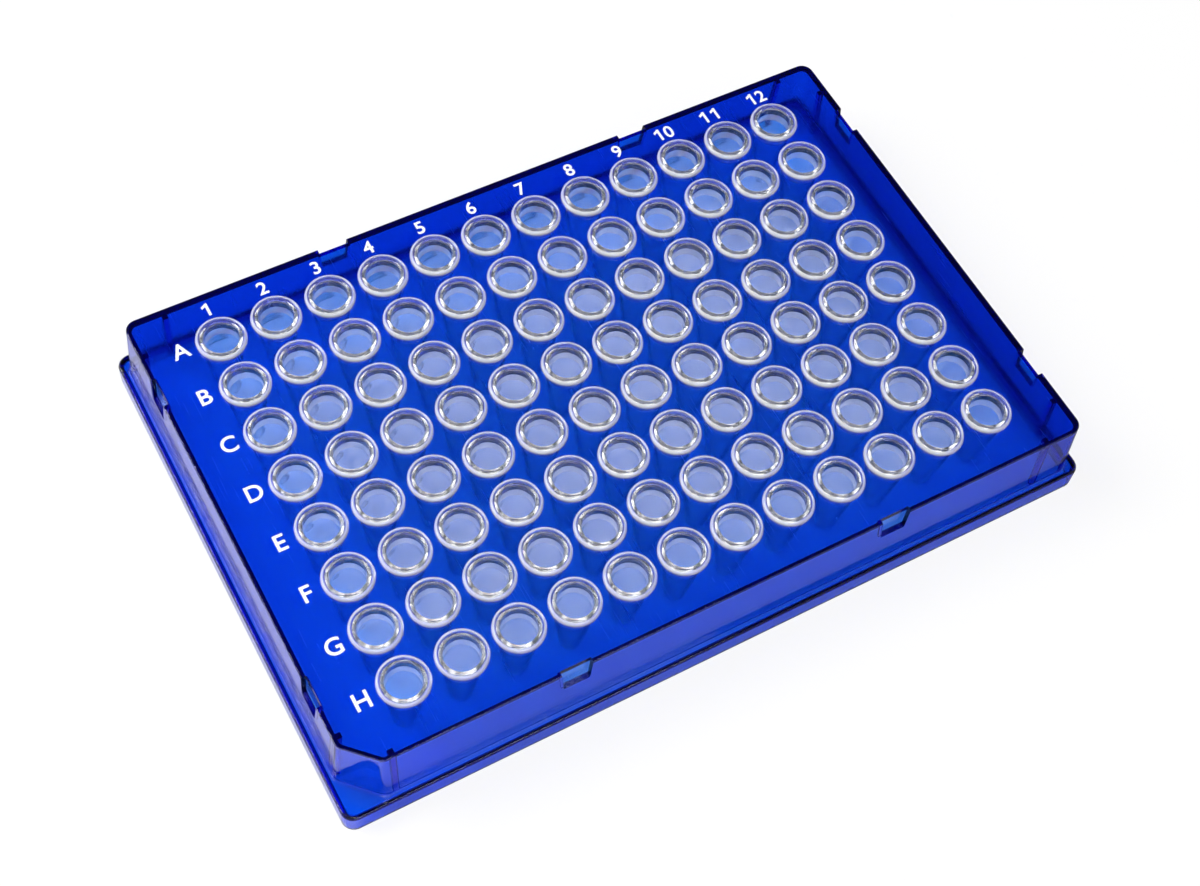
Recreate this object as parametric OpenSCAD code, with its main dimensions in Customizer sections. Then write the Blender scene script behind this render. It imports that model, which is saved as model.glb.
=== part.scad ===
// Skirted 96-well plate, low profile, two mouldings.
// A rigid clear blue frame carries 96 separate thin-walled wells, A1 to H12.
// The origin is at the middle of the underside. Columns 1 to 12 run along +X
// and rows A to H run along -Y, so well A1 is at the back left corner.

/* [Footprint] */
// Distance from the left and right edges of the base flange to the middles of columns 1 and 12
edge_l = 14.38; // [10:0.01:30]
// Distance from the front and back edges of the base flange to the middles of rows H and A
edge_w = 11.24; // [9:0.01:22]
// Corner radius of the base flange
base_r = 2; // [1.5:0.1:4]
// Height of the base flange
flange_h = 4.1; // [3:0.1:5.5]
// Radius along the top edge of the base flange
flange_edge_r = 0.5; // [0.2:0.05:0.8]

/* [Frame] */
// Height of the deck's top face
deck_z = 15.2; // [12.5:0.1:19]
// Thickness of the deck
deck_t = 1.1; // [0.8:0.1:1.6]
// Thickness of the walls and the flange
wall_t = 0.8; // [0.6:0.1:1.2]
// Width of the ledge between the walls and the edge of the flange
ledge_w = 1.3; // [1:0.1:2.5]
// Draft of the walls, in degrees from upright
wall_draft = 4; // [1:0.5:6]
// Corner radius of the deck
deck_r = 1.9; // [1.2:0.1:4]
// Length cut off both edges of the deck at corner H1
cut_corner = 4.9; // [3:0.1:6.5]

/* [Corner ribs] */
// Distance of each rib from the deck's nearer corner
rib_inset = 6.4; // [5:0.1:8]
// Width of a rib
rib_w = 0.9; // [0.5:0.1:1.5]
// How far a rib stands out from the inside of its wall
rib_depth = 0.8; // [0.4:0.1:1.5]

/* [Rim notches] */
// Distance of each notch from the middle of its side
notch_offset = 27; // [20:0.5:30]
// Width of a notch at the deck
notch_w = 5; // [3:0.1:7]
// How much narrower a notch is at its floor
notch_taper = 0.8; // [0:0.1:1.5]
// Height of a notch
notch_h = 4.3; // [2:0.1:5.5]
// Depth of a notch into the wall
notch_d = 0.8; // [0.4:0.1:1]

/* [Wells] */
// Distance between neighbouring wells
pitch = 9; // [8.6:0.1:10.8]
// Height of a rim above the deck
rim_h = 0.86; // [0.5:0.01:1.5]
// Width of a rim, from the mouth to its outer edge
rim_w = 1.22; // [1:0.01:1.4]
// Radius of a rim's outer top edge
rim_edge_r = 0.35; // [0.1:0.05:0.4]
// Inner diameter of a well's mouth
mouth_d = 5.46; // [4.5:0.01:6.6]
// How much narrower the upright bore is at its foot, where it becomes a cone
bore_taper = 0.16; // [0:0.01:0.4]
// Distance from the underside of the deck down to the foot of the upright bore
bore_drop = 2.5; // [1.2:0.1:4]
// Inner diameter at the foot of the cone
foot_d = 2.6; // [2:0.1:3.2]
// Height of the underside of a well's round bottom
bottom_z = 1.2; // [0.6:0.1:2.5]
// Thickness of a well's wall
well_t = 0.35; // [0.25:0.05:0.5]
// Thickness of the neck where a well passes through the deck
neck_t = 0.55; // [0.4:0.05:0.7]
// Height of the taper under the deck, where the neck thins to the wall of the well
neck_taper_h = 0.6; // [0.3:0.1:1]
// Gap around the neck in its hole in the deck
neck_gap = 0.05; // [0.02:0.01:0.15]

/* [Hidden] */
$fn = 64;
rows = 8;
columns = 12;
overlap = 1;                                  // how far a cutting shape runs past what it cuts
bury = 0.2;                                   // how far a rib or pocket runs into the deck and its wall
least_r = 0.3;                                // smallest radius inside a corner
base_l = (columns - 1) * pitch + 2 * edge_l;
base_w = (rows - 1) * pitch + 2 * edge_w;
deck_l = base_l - 2 * (ledge_w + wall_run(deck_z - flange_h));
deck_w = base_w - 2 * (ledge_w + wall_run(deck_z - flange_h));
deck_under = deck_z - deck_t;
step_z = flange_h - wall_t;                   // underside of the ledge
neck_foot_z = deck_under - neck_taper_h;      // where the neck has thinned to the wall of the well
shoulder_z = deck_under - bore_drop;          // height at which the upright bore becomes a cone
shoulder_d = mouth_d - bore_taper;
rim_z = deck_z + rim_h;
rim_d = mouth_d + 2 * rim_w;
rim_edge = min(rim_edge_r, rim_h / 2);        // the rim's rounding, limited by its height
hole_r = bore_r(deck_z) + neck_t + neck_gap;
foot_r = foot_d / 2;
foot_z = bottom_z + well_t + foot_r;          // centre of the round bottom

// Outward run of the walls over a drop, to the nearest thousandth, so that flats and rounds meet exactly
function wall_run(drop) = round(1000 * tan(wall_draft) * drop) / 1000;

// Inner radius of a well at height z, above its shoulder
function bore_r(z) =
    (shoulder_d + (mouth_d - shoulder_d) * (z - shoulder_z) / (rim_z - shoulder_z)) / 2;

// A rectangle with round corners
module rounded_rectangle(l, w, r) {
    square([l - 2 * r, w], center = true);
    square([l, w - 2 * r], center = true);
    for (x = [-1, 1], y = [-1, 1])
        translate([x * (l / 2 - r), y * (w / 2 - r)]) circle(r);
}

// A bar with its section, given from z = 0 up, running along X and centred
module bar(l, section) {
    rotate([90, 0, 90]) translate([0, 0, -l / 2]) linear_extrude(l) polygon(section);
}

// A block that stands on z = 0 and narrows upwards at the walls' draft.
// l, w and r are its length, width and corner radius at the top.
module drafted_block(l, w, h, r) {
    run = wall_run(h);
    bar(l - 2 * r, [[-w / 2 - run, 0], [w / 2 + run, 0], [w / 2, h], [-w / 2, h]]);
    rotate(90) bar(w - 2 * r, [[-l / 2 - run, 0], [l / 2 + run, 0], [l / 2, h], [-l / 2, h]]);
    for (x = [-1, 1], y = [-1, 1])
        translate([x * (l / 2 - r), y * (w / 2 - r), 0]) cylinder(h = h, r1 = r + run, r2 = r);
}

// The space outside the cut corner H1, which takes cut off both edges of the deck
module corner_cut(cut) {
    reach = base_w;
    translate([(cut - deck_l) / 2, (cut - deck_w) / 2, deck_z])
        rotate([0, 0, 45]) rotate([0, wall_draft, 0])
            translate([-reach, -reach, -reach]) cube([reach, 2 * reach, 2 * reach]);
}

// The outside of the walls from z0 up to z1, or their inside when it is inset by their thickness
module wall_form(z0, z1, inset) {
    run = wall_run(deck_z - z1);
    l = deck_l + 2 * (run - inset);
    w = deck_w + 2 * (run - inset);
    difference() {
        translate([0, 0, z0]) drafted_block(l, w, z1 - z0, max(deck_r - inset, least_r) + run);
        corner_cut(cut_corner + sqrt(2) * inset);
    }
}

// Half of the flange's section, from its middle out to r, with the top edge rounded
module flange_section(r) {
    e = flange_edge_r;
    square([r, flange_h - e]);
    square([r - e, flange_h]);
    translate([r - e, flange_h - e]) circle(e);
}

// A straight length of flange along X, w wide
module flange_bar(l, w) {
    rotate([90, 0, 90]) translate([0, 0, -l / 2]) linear_extrude(l) {
        flange_section(w / 2);
        mirror([1, 0]) flange_section(w / 2);
    }
}

// The base flange, solid
module flange_form() {
    inner_l = base_l - 2 * base_r;
    inner_w = base_w - 2 * base_r;
    flange_bar(inner_l, base_w);
    rotate(90) flange_bar(inner_w, base_l);
    for (x = [-1, 1], y = [-1, 1])
        translate([x * inner_l / 2, y * inner_w / 2, 0]) rotate_extrude() flange_section(base_r);
}

// A notch's outline grown by margin, from its floor up to z = top; z = 0 is the deck's top face
module notch_outline(margin, top) {
    floor_z = -notch_h - margin;
    half_floor = notch_w / 2 + margin + notch_taper / 2 * floor_z / notch_h;
    half_top = notch_w / 2 + margin + notch_taper / 2 * top / notch_h;
    polygon([[-half_floor, floor_z], [half_floor, floor_z], [half_top, top], [-half_top, top]]);
}

// One notch for the wall that faces -Y, with the middle of its back's top edge at the origin
module notch() {
    rotate([-wall_draft, 0, 0]) rotate([90, 0, 0])
        linear_extrude(notch_d + overlap) notch_outline(0, overlap);
}

// The pocket behind one notch, which keeps the wall as thick there as it is elsewhere
module notch_pocket() {
    rotate([-wall_draft, 0, 0]) translate([0, wall_t, 0]) rotate([90, 0, 0])
        linear_extrude(notch_d + bury) notch_outline(wall_t, bury - deck_t);
}

// Places its children at the eight notches, two in each side
module at_notches() {
    for (side = [0, 1], n = [-1, 1]) {
        rotate(180 * side) translate([n * notch_offset, -deck_w / 2 + notch_d, deck_z]) children();
        rotate(90 + 180 * side)
            translate([n * notch_offset, -deck_l / 2 + notch_d, deck_z]) children();
    }
}

// One rib for the wall that faces -Y, with y = 0 on the wall's inside under the deck
module rib() {
    run = wall_run(deck_under - step_z);
    rotate([90, 0, 90]) translate([0, 0, -rib_w / 2]) linear_extrude(rib_w)
        polygon([[rib_depth, deck_under + bury], [rib_depth - run, step_z],
                 [-run - bury, step_z], [-bury, deck_under + bury]]);
}

// The eight ribs, one each side of every corner
module ribs() {
    at_deck = wall_t - wall_run(deck_t);
    for (side = [0, 1], n = [-1, 1]) {
        rotate(180 * side)
            translate([n * (deck_l / 2 - rib_inset), -deck_w / 2 + at_deck, 0]) rib();
        rotate(90 + 180 * side)
            translate([n * (deck_w / 2 - rib_inset), -deck_l / 2 + at_deck, 0]) rib();
    }
}

// Places its children at every well, or at the wells of one column
module at_wells(first = 1, last = columns) {
    for (c = [first : last], r = [1 : rows])
        translate([(c - (columns + 1) / 2) * pitch, ((rows + 1) / 2 - r) * pitch, 0]) children();
}

// The blue moulding
module frame() {
    color([0.02, 0.14, 0.72, 0.85])
    difference() {
        union() {
            difference() {
                union() {
                    wall_form(step_z, deck_z, 0);
                    flange_form();
                }
                wall_form(step_z - overlap, deck_under, wall_t);
                translate([0, 0, -overlap]) linear_extrude(step_z + overlap)
                    rounded_rectangle(base_l - 2 * wall_t, base_w - 2 * wall_t, base_r - wall_t);
            }
            ribs();
            at_notches() notch_pocket();
        }
        at_notches() notch();
        at_wells() translate([0, 0, deck_under - overlap]) cylinder(h = deck_t + 2 * overlap, r = hole_r);
    }
}

// The rim of one well: a washer that lies on the deck, with a rounded outer top edge
module rim() {
    r = rim_d / 2;
    rotate_extrude() {
        translate([0, deck_z]) square([r, rim_h - rim_edge]);
        translate([0, deck_z]) square([r - rim_edge, rim_h]);
        translate([r - rim_edge, rim_z - rim_edge]) circle(rim_edge);
    }
}

// The outside of one well: round bottom, cone, upright bore, neck and rim
module well_outside() {
    shoulder_r = shoulder_d / 2 + well_t;
    neck_foot_r = bore_r(neck_foot_z) + well_t;
    neck_top_r = bore_r(deck_z) + neck_t;
    neck_under_r = bore_r(deck_under) + neck_t;
    translate([0, 0, foot_z]) sphere(foot_r + well_t);
    translate([0, 0, foot_z]) cylinder(h = shoulder_z - foot_z, r1 = foot_r + well_t, r2 = shoulder_r);
    translate([0, 0, shoulder_z]) cylinder(h = neck_foot_z - shoulder_z, r1 = shoulder_r, r2 = neck_foot_r);
    translate([0, 0, neck_foot_z]) cylinder(h = neck_taper_h, r1 = neck_foot_r, r2 = neck_under_r);
    translate([0, 0, deck_under]) cylinder(h = deck_t, r1 = neck_under_r, r2 = neck_top_r);
    rim();
}

// The space inside one well
module well_inside() {
    above = rim_z + overlap;
    translate([0, 0, foot_z]) sphere(foot_r);
    translate([0, 0, foot_z]) cylinder(h = shoulder_z - foot_z, r1 = foot_r, r2 = shoulder_d / 2);
    translate([0, 0, shoulder_z])
        cylinder(h = above - shoulder_z, r1 = shoulder_d / 2, r2 = bore_r(above));
}

// One clear well
module well() {
    difference() {
        well_outside();
        well_inside();
    }
}

// The eight wells of one column
module wells_column(column) {
    color([0.86, 0.9, 0.95, 0.7]) at_wells(column, column) well();
}

frame();
wells_column(1);  // wells_column_01
wells_column(2);  // wells_column_02
wells_column(3);  // wells_column_03
wells_column(4);  // wells_column_04
wells_column(5);  // wells_column_05
wells_column(6);  // wells_column_06
wells_column(7);  // wells_column_07
wells_column(8);  // wells_column_08
wells_column(9);  // wells_column_09
wells_column(10);  // wells_column_10
wells_column(11);  // wells_column_11
wells_column(12);  // wells_column_12
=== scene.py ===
import math

import bmesh
import bpy
from mathutils import Matrix, Vector


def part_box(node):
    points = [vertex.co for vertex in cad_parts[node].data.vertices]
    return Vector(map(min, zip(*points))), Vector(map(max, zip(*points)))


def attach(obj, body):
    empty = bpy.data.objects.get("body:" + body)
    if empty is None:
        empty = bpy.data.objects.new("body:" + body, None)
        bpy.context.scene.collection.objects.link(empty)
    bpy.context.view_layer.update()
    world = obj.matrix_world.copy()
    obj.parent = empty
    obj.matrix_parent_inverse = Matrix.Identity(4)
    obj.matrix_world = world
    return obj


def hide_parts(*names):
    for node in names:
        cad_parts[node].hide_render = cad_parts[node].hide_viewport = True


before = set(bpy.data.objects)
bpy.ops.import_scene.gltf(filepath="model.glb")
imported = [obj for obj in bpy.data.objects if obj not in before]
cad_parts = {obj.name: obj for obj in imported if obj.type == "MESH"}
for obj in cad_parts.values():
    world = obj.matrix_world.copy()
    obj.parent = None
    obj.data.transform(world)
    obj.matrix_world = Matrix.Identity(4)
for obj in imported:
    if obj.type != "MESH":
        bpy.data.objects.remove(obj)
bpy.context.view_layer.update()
bpy.ops.object.select_all(action="DESELECT")

# ---------------------------------------------------------------------------
# Frame. One injection moulding in hard, clear, deep-blue plastic, 0.8 mm thick, with a 1.1 mm deck.
# The deck, the leaning walls and the stepped-out base flange are one skin. Eight ribs stiffen
# the walls near the corners, and a gripper takes hold in eight notches at the edge of the deck.
MM = 0.001
frame_low, frame_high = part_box("frame")
skin_t = 0.8 * MM
deck_t = 1.1 * MM
flange_h = 4.1 * MM
flange_r = 2.0 * MM
ledge_w = 1.3 * MM
lean = math.tan(math.radians(4))
deck_z = frame_high.z
deck_r = 1.9 * MM
cut_corner = 4.9 * MM
wall_h = deck_z - flange_h
foot_l = frame_high.x - frame_low.x - 2 * ledge_w
foot_w = frame_high.y - frame_low.y - 2 * ledge_w
foot_r = deck_r + lean * wall_h
deck_l = foot_l - 2 * lean * wall_h
deck_w = foot_w - 2 * lean * wall_h
corner_steps = 9
touch = 0.01 * MM


def pick(mode, test):
    """Selects, in edit mode, the vertices, edges or faces that the test says yes to."""
    bpy.ops.mesh.select_mode(type=mode)
    bpy.ops.mesh.select_all(action="DESELECT")
    mesh = bmesh.from_edit_mesh(bpy.context.object.data)
    for part in {"VERT": mesh.verts, "EDGE": mesh.edges, "FACE": mesh.faces}[mode]:
        if test(part):
            part.select_set(True)
    mesh.select_flush_mode()
    bmesh.update_edit_mesh(bpy.context.object.data)


def at_height(edge, z):
    """Says whether an edge lies at height z."""
    return all(abs(v.co.z - z) < touch for v in edge.verts)


def round_corners(length, width, square, radius, steps):
    """Rounds a flat outline, either at the corners that are square to both sides or at the others."""
    def is_square(v):
        return abs(v.co.x) > length / 2 - touch and abs(v.co.y) > width / 2 - touch
    pick("VERT", lambda v: is_square(v) == square)
    bpy.ops.mesh.bevel(offset=radius, affect="VERTICES", segments=steps, clamp_overlap=False)


def apply_modifier(thing, kind, **settings):
    """Adds one modifier with its settings and applies it."""
    bpy.context.view_layer.objects.active = thing
    modifier = thing.modifiers.new(kind.title(), kind)
    for name, value in settings.items():
        setattr(modifier, name, value)
    bpy.ops.object.modifier_apply(modifier=modifier.name)


# The walls: their foot on the ledge, with the H1 corner cut off, leaning in up to the deck.
bpy.ops.mesh.primitive_plane_add(size=1, location=(0, 0, 0))
frame_piece = bpy.context.object
frame_piece.name = frame_piece.data.name = "blue_frame"
bpy.ops.object.mode_set(mode="EDIT")
bpy.ops.transform.resize(value=(foot_l, foot_w, 1))
bpy.ops.transform.translate(value=(0, 0, flange_h))
foot_cut = cut_corner + (2 - math.sqrt(2)) * lean * wall_h
pick("VERT", lambda v: v.co.x < 0 and v.co.y < 0)
bpy.ops.mesh.bevel(offset=foot_cut, affect="VERTICES", segments=1, clamp_overlap=False)
cut_ends = 0.8 * MM
round_corners(foot_l, foot_w, False, cut_ends, corner_steps // 2)
round_corners(foot_l, foot_w, True, foot_r, corner_steps)
bpy.ops.mesh.select_all(action="SELECT")
bpy.ops.mesh.inset(thickness=lean * wall_h, depth=wall_h, use_even_offset=True)

# The flange: its outline on the table, rounded at the corners and drawn up.
base_l = frame_high.x - frame_low.x
base_w = frame_high.y - frame_low.y
bpy.ops.mesh.primitive_plane_add(size=1, location=(0, 0, 0))
bpy.ops.transform.resize(value=(base_l, base_w, 1))
pick("VERT", lambda v: abs(v.co.z) < touch)
bpy.ops.mesh.bevel(offset=flange_r, affect="VERTICES", segments=corner_steps, clamp_overlap=False)
pick("FACE", lambda f: abs(f.calc_center_median().z) < touch)
bpy.ops.mesh.extrude_region_move(TRANSFORM_OT_translate={"value": (0, 0, flange_h)})
pick("FACE", lambda f: abs(f.normal.z) > 0.5 and f.calc_center_median().z < deck_z / 2)
bpy.ops.mesh.delete(type="ONLY_FACE")

# The ledge between them, and then the thickness of the whole skin, inwards.
pick("EDGE", lambda e: e.is_boundary and at_height(e, flange_h))
bpy.ops.mesh.bridge_edge_loops()
bpy.ops.mesh.select_all(action="SELECT")
bpy.ops.mesh.normals_make_consistent(inside=False)
bpy.ops.object.mode_set(mode="OBJECT")
apply_modifier(
    frame_piece, "SOLIDIFY", thickness=skin_t, offset=-1, use_even_offset=True, use_quality_normals=True
)
bpy.ops.object.mode_set(mode="EDIT")
deck_under = deck_z - deck_t
ledge_under = flange_h - skin_t
# The inner skin, about one thickness below the deck and the ledge, is set level at its own height.
for top, under in ((deck_z, deck_under), (flange_h, ledge_under)):
    pick("VERT", lambda v: top - 1.3 * skin_t < v.co.z < top - 0.6 * skin_t)
    bpy.ops.transform.resize(value=(1, 1, 0), center_override=(0, 0, under))

# Its edges: round ones where a hand or the gripper meets them, small fillets in the corners.
for level, side, radius, steps in (
    (deck_z, -1, 0.15 * MM, 3),
    (flange_h, 1, 0.4 * MM, 4),
    (flange_h, -1, 0.5 * MM, 4),
    (deck_under, -1, 0.12 * MM, 2),
    (ledge_under, 1, 0.25 * MM, 2),
    (ledge_under, -1, 0.35 * MM, 3),
    (0, 1, 0.15 * MM, 2),
):
    pick("EDGE", lambda e: at_height(e, level) and any(
        side * (f.calc_center_median().z - level) > 0.1 * MM for f in e.link_faces))
    bpy.ops.mesh.bevel(offset=radius, affect="EDGES", segments=steps, clamp_overlap=True)
bpy.ops.object.mode_set(mode="OBJECT")


def around(thing, along_x, along_y):
    """Copies a thing made for the wall that faces -Y to both ends of all four walls."""
    copies = []
    for wall, offset, reach in (
        (0, along_x, deck_w / 2),
        (1, along_y, deck_l / 2),
        (2, along_x, deck_w / 2),
        (3, along_y, deck_l / 2),
    ):
        for end in (-1, 1):
            piece = thing.copy()
            piece.data = thing.data.copy()
            turn = Matrix.Rotation(wall * math.pi / 2, 4, "Z")
            piece.data.transform(turn @ Matrix.Translation((end * offset, -reach, 0)))
            bpy.context.collection.objects.link(piece)
            copies.append(piece)
    bpy.data.objects.remove(thing)
    return join(copies)


def join(things):
    """Joins objects into the first of them."""
    bpy.ops.object.select_all(action="DESELECT")
    for thing in things:
        thing.select_set(True)
    bpy.context.view_layer.objects.active = things[0]
    bpy.ops.object.join()
    return things[0]


def combine(thing, tool, operation):
    """Adds a tool's shape to a thing, or takes it away, and removes the tool."""
    apply_modifier(thing, "BOOLEAN", object=tool, operation=operation, solver="EXACT")
    bpy.data.objects.remove(tool)


# The ribs, standing out from the inside of the walls from the deck down to the ledge.
rib_w = 0.9 * MM
rib_depth = 0.8 * MM
bury = 0.2 * MM
rib_h = deck_under - ledge_under
bpy.ops.mesh.primitive_cube_add(size=1)
rib = bpy.context.object
bpy.ops.object.mode_set(mode="EDIT")
bpy.ops.transform.resize(value=(rib_w, rib_depth + bury, rib_h + bury))
bpy.ops.transform.translate(
    value=(0, skin_t - lean * skin_t + (rib_depth - bury) / 2, ledge_under + (rib_h + bury) / 2)
)
pick("VERT", lambda v: v.co.z < deck_z / 2)
bpy.ops.transform.translate(value=(0, -lean * rib_h, 0))
pick("EDGE", lambda e: min(v.co.y for v in e.verts) > skin_t - lean * rib_h)
bpy.ops.mesh.bevel(offset=0.12 * MM, affect="EDGES", segments=2, clamp_overlap=True)
bpy.ops.object.mode_set(mode="OBJECT")
rib_inset = 6.4 * MM
ribs = around(rib, deck_l / 2 - rib_inset, deck_w / 2 - rib_inset)
combine(frame_piece, ribs, "UNION")

# The notches, cut into the top of the walls and open at the deck and to the outside. The wall
# swells inwards behind each one, and a thin web closes it.
notch_w = 5 * MM
notch_taper = 0.8 * MM
notch_h = 4.3 * MM
notch_d = 0.8 * MM
notch_offset = 27 * MM
notch_web = 0.3 * MM
past = 1 * MM


def notch_block(grow, near, far, top):
    """A block for the wall that faces -Y, with a notch's outline grown at its sides."""
    floor = deck_z - notch_h
    bpy.ops.mesh.primitive_cube_add(size=1)
    block = bpy.context.object
    bpy.ops.object.mode_set(mode="EDIT")
    bpy.ops.transform.resize(value=(1, far - near, top - floor))
    bpy.ops.transform.translate(value=(0, (near + far) / 2, (top + floor) / 2))
    for level in (floor, top):
        drop = deck_z - level
        width = notch_w + 2 * grow - notch_taper * drop / notch_h
        pick("VERT", lambda v: abs(v.co.z - level) < touch)
        bpy.ops.transform.resize(value=(width, 1, 1), center_override=(0, 0, level))
        bpy.ops.transform.translate(value=(0, -lean * drop, 0))
    bpy.ops.object.mode_set(mode="OBJECT")
    return block


swelling = notch_block(notch_web, skin_t - bury, notch_d + notch_web, deck_under + bury)
combine(frame_piece, around(swelling, notch_offset, notch_offset), "UNION")
notch = notch_block(0, -past, notch_d, deck_z + past)
combine(frame_piece, around(notch, notch_offset, notch_offset), "DIFFERENCE")

# The 96 holes in the deck, one for each well's neck.
pitch = 9 * MM
columns = 12
rows = 8
hole_r = 3.32 * MM
hole_steps = 48
rim_r = 3.95 * MM
first_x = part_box("wells_column_01")[0].x + rim_r
first_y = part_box("wells_column_01")[0].y + rim_r
bpy.ops.mesh.primitive_cylinder_add(
    vertices=hole_steps, radius=hole_r, depth=3 * deck_t, location=(first_x, first_y, deck_z - deck_t / 2)
)
holes = bpy.context.object
bpy.ops.object.transform_apply(location=True)
for count, step in ((columns, (pitch, 0, 0)), (rows, (0, pitch, 0))):
    apply_modifier(
        holes,
        "ARRAY",
        count=count,
        use_relative_offset=False,
        use_constant_offset=True,
        constant_offset_displace=step,
    )
combine(frame_piece, holes, "DIFFERENCE")

bpy.context.view_layer.objects.active = frame_piece
frame_piece.select_set(True)
bpy.ops.object.shade_smooth_by_angle(angle=math.radians(35))
apply_modifier(frame_piece, "WEIGHTED_NORMAL", keep_sharp=True)

# The marks that all of the plate's plastic carries: hair scratches from handling, grey specks of
# dust, and the slow unevenness of a moulded surface.
marks = bpy.data.node_groups.new("handling_marks", "ShaderNodeTree")
for label, least, most, start in (
    ("Polish", 0, 1, 0.03),
    ("Scratches", 0, 1, 0.5),
    ("Specks", 0, 1, 0.5),
    ("Waviness", 0, 1, 0.3),
):
    slot = marks.interface.new_socket(label, in_out="INPUT", socket_type="NodeSocketFloat")
    slot.min_value, slot.max_value, slot.default_value = least, most, start
for label, kind in (
    ("Roughness", "NodeSocketFloat"),
    ("Speck Mask", "NodeSocketFloat"),
    ("Normal", "NodeSocketVector"),
):
    marks.interface.new_socket(label, in_out="OUTPUT", socket_type=kind)
nodes = marks.nodes
links = marks.links
given = nodes.new("NodeGroupInput")
result = nodes.new("NodeGroupOutput")
place = nodes.new("ShaderNodeTexCoord")


def calculate(operation, first, second, clamp=False):
    """A Math node in the tree at hand; each of its two values is a number or a node's output."""
    node = nodes.new("ShaderNodeMath")
    node.operation = operation
    node.use_clamp = clamp
    for socket, value in zip(node.inputs, (first, second)):
        if isinstance(value, (int, float)):
            socket.default_value = value
        else:
            links.new(value, socket)
    return node.outputs[0]


def ramp(value, start, end):
    """A Map Range node that rises smoothly from 0 at start to 1 at end, or falls if end is less."""
    node = nodes.new("ShaderNodeMapRange")
    node.interpolation_type = "SMOOTHSTEP"
    flip = end < start
    node.inputs["From Min"].default_value = end if flip else start
    node.inputs["From Max"].default_value = start if flip else end
    node.inputs["To Min"].default_value = 1 if flip else 0
    node.inputs["To Max"].default_value = 0 if flip else 1
    links.new(value, node.inputs["Value"])
    return node.outputs["Result"]


# Scratches: three sets of long thin noise, each turned its own way and cut to its highest ridges.
scratch_start = 0.755
scratch_full = 0.8
scratch_rough = 0.25
scratch_depth = 0.1
scratch_masks = []
for turn, across, along in ((27, 3200, 75), (-52, 2600, 110), (80, 3800, 60)):
    spread = nodes.new("ShaderNodeMapping")
    spread.inputs["Rotation"].default_value = (0, 0, math.radians(turn))
    spread.inputs["Scale"].default_value = (across, along, along)
    links.new(place.outputs["Object"], spread.inputs["Vector"])
    noise = nodes.new("ShaderNodeTexNoise")
    noise.inputs["Scale"].default_value = 1
    noise.inputs["Detail"].default_value = 0
    links.new(spread.outputs["Vector"], noise.inputs["Vector"])
    scratch_masks.append(ramp(noise.outputs["Fac"], scratch_start, scratch_full))
scratched = calculate("MAXIMUM", scratch_masks[0], scratch_masks[1])
scratched = calculate("MAXIMUM", scratched, scratch_masks[2])
scratched = calculate("MULTIPLY", scratched, given.outputs["Scratches"])

# Specks: small discs in about a quarter of the cells of a fine Voronoi pattern.
speck_cells = 420
speck_share = 0.72
speck_r = 0.055
speck_edge = 0.012
speck_rough = 0.4
dust = nodes.new("ShaderNodeTexVoronoi")
dust.inputs["Scale"].default_value = speck_cells
links.new(place.outputs["Object"], dust.inputs["Vector"])
lot = nodes.new("ShaderNodeSeparateColor")
links.new(dust.outputs["Color"], lot.inputs["Color"])
speck_size = calculate("MULTIPLY", ramp(lot.outputs["Red"], speck_share, 1), speck_r)
speck = calculate("SUBTRACT", speck_size, dust.outputs["Distance"])
speck = calculate("MULTIPLY", ramp(speck, 0, speck_edge), given.outputs["Specks"])
links.new(speck, result.inputs["Speck Mask"])

# Unevenness: a cloudy noise that shifts the roughness a little and raises a shallow relief.
cloud_scale = 160
cloud_detail = 3
cloud_rough = 1.2
even_rough = 0.4
relief_h = 0.02 * MM
cloud = nodes.new("ShaderNodeTexNoise")
cloud.inputs["Scale"].default_value = cloud_scale
cloud.inputs["Detail"].default_value = cloud_detail
links.new(place.outputs["Object"], cloud.inputs["Vector"])
uneven = calculate("MULTIPLY", given.outputs["Polish"], cloud_rough)
uneven = calculate("MULTIPLY", cloud.outputs["Fac"], uneven)
worn = calculate("ADD", calculate("MULTIPLY", given.outputs["Polish"], even_rough), uneven)
worn = calculate("ADD", worn, calculate("MULTIPLY", scratched, scratch_rough))
worn = calculate("ADD", worn, calculate("MULTIPLY", speck, speck_rough), clamp=True)
links.new(worn, result.inputs["Roughness"])
relief = calculate("MULTIPLY", cloud.outputs["Fac"], given.outputs["Waviness"])
relief = calculate("SUBTRACT", relief, calculate("MULTIPLY", scratched, scratch_depth))
bump = nodes.new("ShaderNodeBump")
bump.inputs["Strength"].default_value = 1
bump.inputs["Distance"].default_value = relief_h
links.new(relief, bump.inputs["Height"])
links.new(bump.outputs["Normal"], result.inputs["Normal"])


dust_grey = (0.6, 0.62, 0.65)


def moulded(name, colour, index, clearness, polish, scratches, specks, waviness):
    """A plastic with the handling marks on it; its specks are rough and grey."""
    material = bpy.data.materials.new(name)
    material.use_nodes = True
    tree = material.node_tree
    shader = tree.nodes["Principled BSDF"]
    wear = tree.nodes.new("ShaderNodeGroup")
    wear.name = "wear"
    wear.node_tree = marks
    wear.inputs["Polish"].default_value = polish
    wear.inputs["Scratches"].default_value = scratches
    wear.inputs["Specks"].default_value = specks
    wear.inputs["Waviness"].default_value = waviness
    dusty = tree.nodes.new("ShaderNodeMix")
    dusty.data_type = "RGBA"
    factor, clean, dirty = (dusty.inputs[number] for number in (0, 6, 7))
    clean.default_value = (*colour, 1)
    dirty.default_value = (*dust_grey, 1)
    tree.links.new(wear.outputs["Speck Mask"], factor)
    tree.links.new(dusty.outputs[2], shader.inputs["Base Color"])
    shader.inputs["IOR"].default_value = index
    shader.inputs["Transmission Weight"].default_value = clearness
    tree.links.new(wear.outputs["Roughness"], shader.inputs["Roughness"])
    tree.links.new(wear.outputs["Normal"], shader.inputs["Normal"])
    return material


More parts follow.
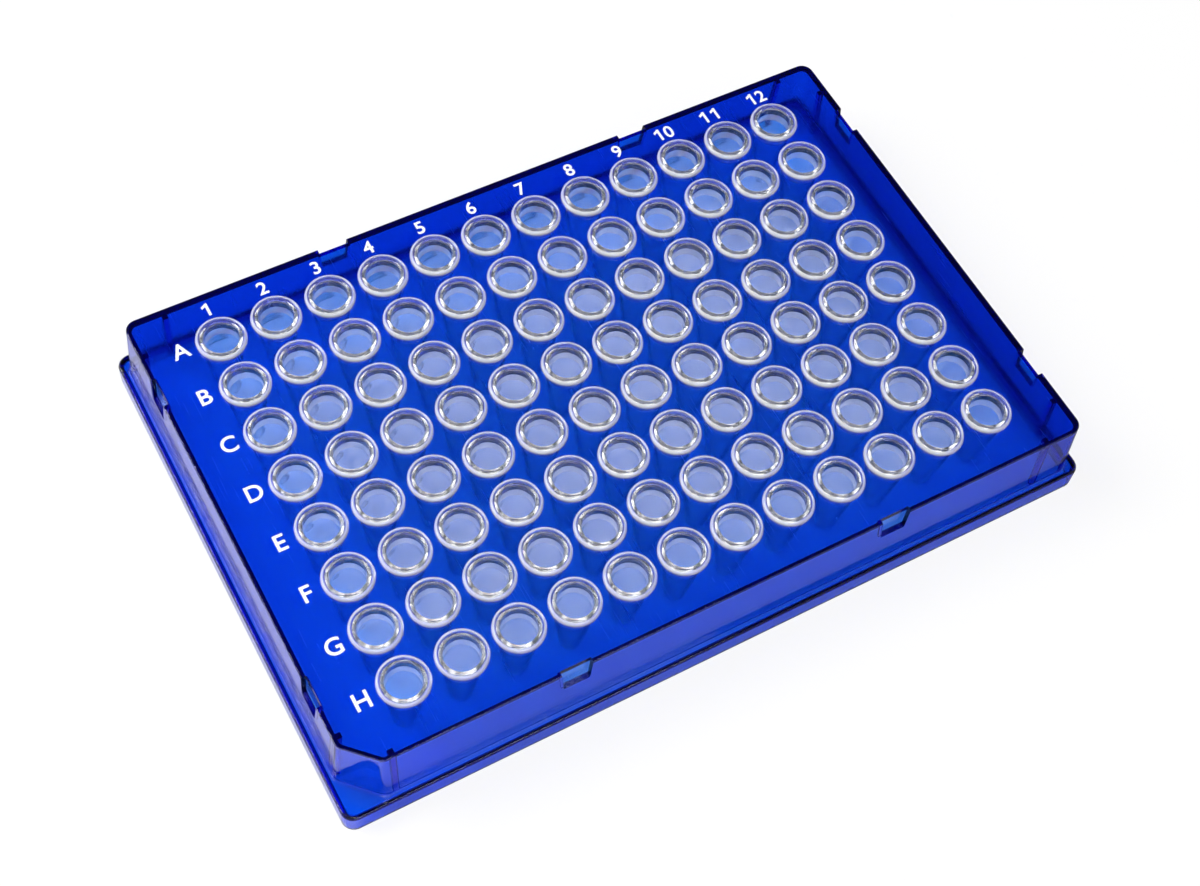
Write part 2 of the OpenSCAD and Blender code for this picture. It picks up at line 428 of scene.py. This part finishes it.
# Clear blue plastic: it takes the red and most of the green out of light in its first millimetre.
# It is glossy all over, but for the underside of the deck, which the mould leaves matt.
gloss_polish = 0.03
matt_polish = 0.2
matt_reach = 0.05 * MM
blue_plastic = moulded(
    "clear_blue_plastic",
    colour=(1, 1, 1),
    index=1.52,
    clearness=1,
    polish=gloss_polish,
    scratches=0.3,
    specks=0.6,
    waviness=0.012,
)
nodes = blue_plastic.node_tree.nodes
links = blue_plastic.node_tree.links
frame_axes = nodes.new("ShaderNodeSeparateXYZ")
links.new(nodes.new("ShaderNodeTexCoord").outputs["Object"], frame_axes.inputs["Vector"])
underside = calculate("COMPARE", frame_axes.outputs["Z"], deck_under)
underside.node.inputs[2].default_value = matt_reach
matt = nodes.new("ShaderNodeMapRange")
matt.inputs["To Min"].default_value = gloss_polish
matt.inputs["To Max"].default_value = matt_polish
links.new(underside, matt.inputs["Value"])
links.new(matt.outputs["Result"], nodes["wear"].inputs["Polish"])
tint = nodes.new("ShaderNodeVolumeAbsorption")
tint.inputs["Color"].default_value = (0.04, 0.615, 0.954, 1)
tint.inputs["Density"].default_value = 4000
links.new(tint.outputs["Volume"], nodes["Material Output"].inputs["Volume"])
frame_piece.data.materials.append(blue_plastic)
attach(frame_piece, "root")
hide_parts("frame")

# ---------------------------------------------------------------------------
# Wells. Ninety-six thin conical cups in clear, slightly frosted plastic, each with a thick rim
# that lies on the deck and a neck that passes through its hole. The eight of a column go in together.
rim_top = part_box("wells_column_01")[1].z
rim_seat = 0.02 * MM
groove_r = 3.34 * MM
groove_w = 0.16 * MM
groove_t = 0.06 * MM
mouth_r = 2.73 * MM
shoulder_r = 2.65 * MM
shoulder_z = 11.6 * MM
cup_t = 0.35 * MM
neck_t = 0.55 * MM
bottom_r = 1.3 * MM
bottom_turn = 82
bottom_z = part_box("wells_column_01")[0].z + cup_t + bottom_r
arc_steps = 6
lathe_steps = 48


def draw_outline(points):
    """Draws an open outline in the XZ plane, one extruded vertex after another."""
    bpy.ops.mesh.primitive_plane_add(size=MM, location=(0, 0, 0))
    bpy.ops.object.mode_set(mode="EDIT")
    bpy.ops.mesh.merge(type="CENTER")
    bpy.ops.transform.translate(value=(points[0][0], 0, points[0][1]))
    for before, after in zip(points, points[1:]):
        bpy.ops.mesh.extrude_vertices_move(
            TRANSFORM_OT_translate={"value": (after[0] - before[0], 0, after[1] - before[1])}
        )
    return bpy.context.object


def bottom_arc(radius, up):
    """The points of the round bottom, from the axis out to the cone, or back in."""
    angles = [math.radians(-90 + bottom_turn * step / arc_steps) for step in range(arc_steps + 1)]
    arc = [(radius * math.cos(a), bottom_z + radius * math.sin(a)) for a in angles]
    arc[0] = (0, bottom_z - radius)
    return arc if up else arc[::-1]


neck_foot = deck_under - 0.6 * MM
collar_foot = deck_under - 1.3 * MM
profile = bottom_arc(bottom_r + cup_t, True) + [
    (shoulder_r + cup_t, shoulder_z),
    (shoulder_r + cup_t + 0.02 * MM, collar_foot),
    (shoulder_r + cup_t + 0.04 * MM, neck_foot),
    (mouth_r + neck_t - 0.03 * MM, deck_under),
    (mouth_r + neck_t, deck_z + rim_seat),
    (rim_r, deck_z + rim_seat),
    (rim_r, rim_top),
    (groove_r + groove_w, rim_top),
    (groove_r, rim_top - groove_t),
    (groove_r - groove_w, rim_top),
    (mouth_r, rim_top),
    (shoulder_r, shoulder_z),
] + bottom_arc(bottom_r, False)
well = draw_outline(profile)
for radius, height, size, steps in (
    (rim_r, rim_top, 0.5 * MM, 6),
    (mouth_r, rim_top, 0.24 * MM, 5),
    (rim_r, deck_z + rim_seat, 0.3 * MM, 4),
    (groove_r, rim_top - groove_t, 0.08 * MM, 2),
    (shoulder_r, shoulder_z, 0.5 * MM, 3),
    (shoulder_r + cup_t, shoulder_z, 0.5 * MM, 3),
):
    pick("VERT", lambda v: abs(v.co.x - radius) + abs(v.co.z - height) < touch)
    bpy.ops.mesh.bevel(offset=size, affect="VERTICES", segments=steps, clamp_overlap=True)
bpy.ops.mesh.select_all(action="SELECT")
bpy.ops.mesh.spin(
    steps=lathe_steps, angle=2 * math.pi, center=(0, 0, 0), axis=(0, 0, 1), use_auto_merge=True
)
bpy.ops.mesh.select_all(action="SELECT")
bpy.ops.mesh.remove_doubles(threshold=0.001 * MM)
bpy.ops.mesh.normals_make_consistent(inside=False)
bpy.ops.object.mode_set(mode="OBJECT")
bpy.ops.object.shade_smooth_by_angle(angle=math.radians(40))

# The cups' plastic is clear, but milky where it is thick, and frosted a little on the inside.
milk = (0.97, 0.975, 0.98)
ice = (0.99, 0.99, 1)
cup_index = 1.49
for name, colour, clearness, polish, scratches, specks, waviness in (
    ("milky_rim_plastic", milk, 0.97, 0.06, 0.3, 0.3, 0.2),
    ("frosted_cup_plastic", ice, 1, 0.06, 0.15, 0.2, 0.2),
    ("milky_bead_plastic", milk, 0.6, 0.12, 0.3, 0.3, 0.2),
    ("milky_cup_plastic", milk, 0.985, 0.12, 0.1, 0.2, 0.3),
):
    well.data.materials.append(
        moulded(name, colour, cup_index, clearness, polish, scratches, specks, waviness)
    )
rim_finish, inside_finish, bead_finish, outside_finish = range(4)
bead_r = 3.5 * MM
for face in well.data.polygons:
    outward = face.normal.x * face.center.x + face.normal.y * face.center.y > 0
    if face.center.z < collar_foot or (face.center.z < deck_under and not outward):
        face.material_index = outside_finish if outward else inside_finish
    elif face.center.z < deck_under or math.hypot(face.center.x, face.center.y) > bead_r:
        face.material_index = bead_finish
    else:
        face.material_index = rim_finish

for column in range(columns):
    cups = []
    for row in range(rows):
        cup = well.copy()
        cup.data = well.data.copy()
        cup.data.transform(Matrix.Translation((first_x + column * pitch, first_y + row * pitch, 0)))
        bpy.context.collection.objects.link(cup)
        cups.append(cup)
    wells = join(cups)
    wells.name = wells.data.name = f"clear_wells_{column + 1:02d}"
    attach(wells, "root")
    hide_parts(f"wells_column_{column + 1:02d}")
bpy.data.objects.remove(well)

# ---------------------------------------------------------------------------
# Print. White ink on the deck: the letters of the rows down the left side and the numbers of the
# columns along the back, printed on the finished frame.
ink_t = 0.03 * MM
ink_edge = 0.02
cap_share = 0.73
pair_spacing = 1.25
white_ink = moulded(
    "white_ink",
    colour=(0.86, 0.88, 0.9),
    index=1.45,
    clearness=0,
    polish=0.4,
    scratches=0.2,
    specks=0,
    waviness=1,
)
flag_l = 0.3
flag_w = 0.18
flag_drop = 0.15


def print_flag(left, top, height):
    """The short stroke at the head of a figure 1, down and left from its top left corner."""
    middle = left - flag_l * height / 3
    bpy.ops.mesh.primitive_cube_add(size=1)
    flag = bpy.context.object
    bpy.ops.object.mode_set(mode="EDIT")
    bpy.ops.transform.resize(value=(flag_l * height, flag_w * height, ink_t))
    bpy.ops.transform.translate(value=(middle, top - flag_w * height / 2, deck_z + ink_t / 2))
    pick("VERT", lambda v: v.co.x < middle)
    bpy.ops.transform.translate(value=(0, -flag_drop * height, 0))
    bpy.ops.object.mode_set(mode="OBJECT")
    return flag


def print_text(words, height, places, name):
    """Prints each word on the deck at its place, as one piece of ink."""
    printed = []
    for word, place in zip(words, places):
        bpy.ops.object.text_add()
        text = bpy.context.object
        text.data.body = word
        text.data.size = (1 - 2 * ink_edge) * height / cap_share
        text.data.space_character = pair_spacing if word == "11" else 1
        text.data.align_x = "CENTER"
        text.data.align_y = "CENTER"
        text.data.offset = ink_edge * height
        text.data.extrude = ink_t / 2
        text.data.resolution_u = 6
        bpy.ops.object.convert(target="MESH")
        mark = bpy.context.object
        mark.data.transform(Matrix.Translation((place[0], place[1], deck_z + ink_t / 2)))
        printed.append(mark)
        ones = [spot for spot, letter in enumerate(word) if letter == "1"]
        for spot in ones:
            # The second figure of 11 lies right of the middle of the word.
            reach = -math.inf if spot == 0 else place[0]
            edge = min(v.co.x for v in mark.data.vertices if v.co.x > reach)
            printed.append(print_flag(edge, place[1] + height / 2, height))
    ink_piece = join(printed)
    bpy.ops.object.mode_set(mode="EDIT")
    bpy.ops.mesh.select_all(action="SELECT")
    bpy.ops.mesh.remove_doubles(threshold=0.0001 * MM)
    bpy.ops.object.mode_set(mode="OBJECT")
    ink_piece.name = ink_piece.data.name = name
    ink_piece.data.materials.append(white_ink)
    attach(ink_piece, "root")


letters_x = -55.8 * MM
letter_pitch = 9.1 * MM
letter_h = 2.9 * MM
numbers_y = 37.5 * MM
numbers_shift = 0.35 * MM
number_h = 2.5 * MM
print_text(
    "ABCDEFGH",
    letter_h,
    [(letters_x, first_y + (rows - 1 - row) * letter_pitch) for row in range(rows)],
    "row_letters",
)
print_text(
    [str(column + 1) for column in range(columns)],
    number_h,
    [(first_x + column * pitch + numbers_shift, numbers_y) for column in range(columns)],
    "column_numbers",
)

# ---------------------------------------------------------------------------
# Studio: a white table, soft light from all round and the camera.
bpy.ops.mesh.primitive_plane_add(size=3, location=(0, 0, 0))
table = bpy.context.object
table.name = table.data.name = "table"
table_white = bpy.data.materials.new("white_table")
table_white.use_nodes = True
nodes = table_white.node_tree.nodes
links = table_white.node_tree.links
paper = nodes["Principled BSDF"]
paper.inputs["Roughness"].default_value = 0.8
paper.inputs["Specular IOR Level"].default_value = 0
glow = nodes.new("ShaderNodeEmission")
mix = nodes.new("ShaderNodeMixShader")
see = nodes.new("ShaderNodeLightPath")
glow_share = 0.8
links.new(calculate("MULTIPLY", see.outputs["Is Camera Ray"], glow_share), mix.inputs[0])

# Its white is greyer in mirrors, as painted shade for the plate's shadow on the table round it, and less
# so on the left, where the plate's left wall mirrors it, as painted light from the key softbox.
seen_white = 0.85
mirrored_painted_shade = 0.35
mirrored_left_painted_light = 0.62
table_axes = nodes.new("ShaderNodeSeparateXYZ")
links.new(nodes.new("ShaderNodeTexCoord").outputs["Object"], table_axes.inputs["Vector"])
# Painted light: left of the plate, between x = -64 mm and -58 mm, the mirrored table turns lighter.
left_painted_light = nodes.new("ShaderNodeMapRange")
left_painted_light.inputs["From Min"].default_value = -64 * MM
left_painted_light.inputs["From Max"].default_value = -58 * MM
left_painted_light.inputs["To Min"].default_value = mirrored_left_painted_light
left_painted_light.inputs["To Max"].default_value = mirrored_painted_shade
links.new(table_axes.outputs["X"], left_painted_light.inputs["Value"])
# The painted shade reaches only rays that glossy surfaces mirror, not rays through the plastic.
mirrored = calculate(
    "SUBTRACT", see.outputs["Is Glossy Ray"], see.outputs["Is Transmission Ray"], clamp=True
)
dim = nodes.new("ShaderNodeMapRange")
dim.inputs["To Min"].default_value = seen_white
links.new(left_painted_light.outputs["Result"], dim.inputs["To Max"])
links.new(mirrored, dim.inputs["Value"])
grey = nodes.new("ShaderNodeCombineColor")
for channel in ("Red", "Green", "Blue"):
    links.new(dim.outputs["Result"], grey.inputs[channel])
links.new(grey.outputs["Color"], paper.inputs["Base Color"])
links.new(paper.outputs[0], mix.inputs[1])
links.new(glow.outputs[0], mix.inputs[2])
links.new(mix.outputs[0], nodes["Material Output"].inputs["Surface"])
table.data.materials.append(table_white)

# The studio round it: even and dim, darker high up behind on the right, and white to the camera.
world = bpy.data.worlds.new("studio")
bpy.context.scene.world = world
world.use_nodes = True
nodes = world.node_tree.nodes
links = world.node_tree.links
even_light = 0.38
dark_light = 0.02
dark_way = nodes.new("ShaderNodeVectorMath")
dark_way.operation = "DOT_PRODUCT"
dark_way.inputs[1].default_value = Vector((0.29, 0.43, 0.86)).normalized()
links.new(nodes.new("ShaderNodeTexCoord").outputs["Generated"], dark_way.inputs[0])
shade = nodes.new("ShaderNodeMapRange")
shade.interpolation_type = "SMOOTHSTEP"
shade.inputs["From Min"].default_value = 0.80
shade.inputs["From Max"].default_value = 0.93
shade.inputs["To Min"].default_value = even_light
shade.inputs["To Max"].default_value = dark_light
links.new(dark_way.outputs["Value"], shade.inputs["Value"])
seen = nodes.new("ShaderNodeLightPath")
strength = calculate("MAXIMUM", seen.outputs["Is Camera Ray"], shade.outputs["Result"])
links.new(strength, nodes["Background"].inputs["Strength"])
nodes["Background"].inputs["Color"].default_value = (1, 1, 1, 1)
lamp_distance = 0.8


def softbox(name, direction, size, radiance):
    """A square softbox that faces the plate, as bright as a radiance says."""
    way = Vector(direction).normalized()
    light = bpy.data.lights.new(name, "AREA")
    light.shape = "SQUARE"
    light.size = size
    light.energy = radiance * math.pi * size ** 2
    lamp = bpy.data.objects.new(name, light)
    lamp.location = lamp_distance * way
    lamp.rotation_mode = "QUATERNION"
    lamp.rotation_quaternion = way.to_track_quat("Z", "Y")
    bpy.context.collection.objects.link(lamp)


softbox("key_softbox", (-0.59, 0.41, 0.69), 0.5, 8)
softbox("front_softbox", (-0.05, -0.5, 0.86), 0.6, 3.4)

# The camera looks down on the plate from the front left, rolled a little.
azimuth = math.radians(-36.16)
elevation = math.radians(59.22)
roll = math.radians(8.5)
distance = 304.6 * MM
target = Vector((-1.18 * MM, -2.58 * MM, 0))
back = Vector((
    math.cos(elevation) * math.sin(azimuth),
    -math.cos(elevation) * math.cos(azimuth),
    math.sin(elevation),
))
camera_data = bpy.data.cameras.new("camera")
camera = bpy.data.objects.new("camera", camera_data)
bpy.context.collection.objects.link(camera)
camera_data.sensor_width = 36
camera_data.lens = 57.5
camera_data.clip_start = 0.01
camera.location = target + distance * back
camera.rotation_mode = "QUATERNION"
camera.rotation_quaternion = back.to_track_quat("Z", "Y") @ Matrix.Rotation(roll, 3, "Z").to_quaternion()
bpy.context.scene.camera = camera
bpy.context.scene.view_settings.view_transform = "Standard"

# Light crosses a dozen thin walls on its way down to the table and as many on its way back, and
# the glossy filter would darken everything that is lit through them.
bpy.context.scene.cycles.max_bounces = 24
bpy.context.scene.cycles.transmission_bounces = 24
bpy.context.scene.cycles.glossy_bounces = 24
bpy.context.scene.cycles.diffuse_bounces = 12
bpy.context.scene.cycles.blur_glossy = 0
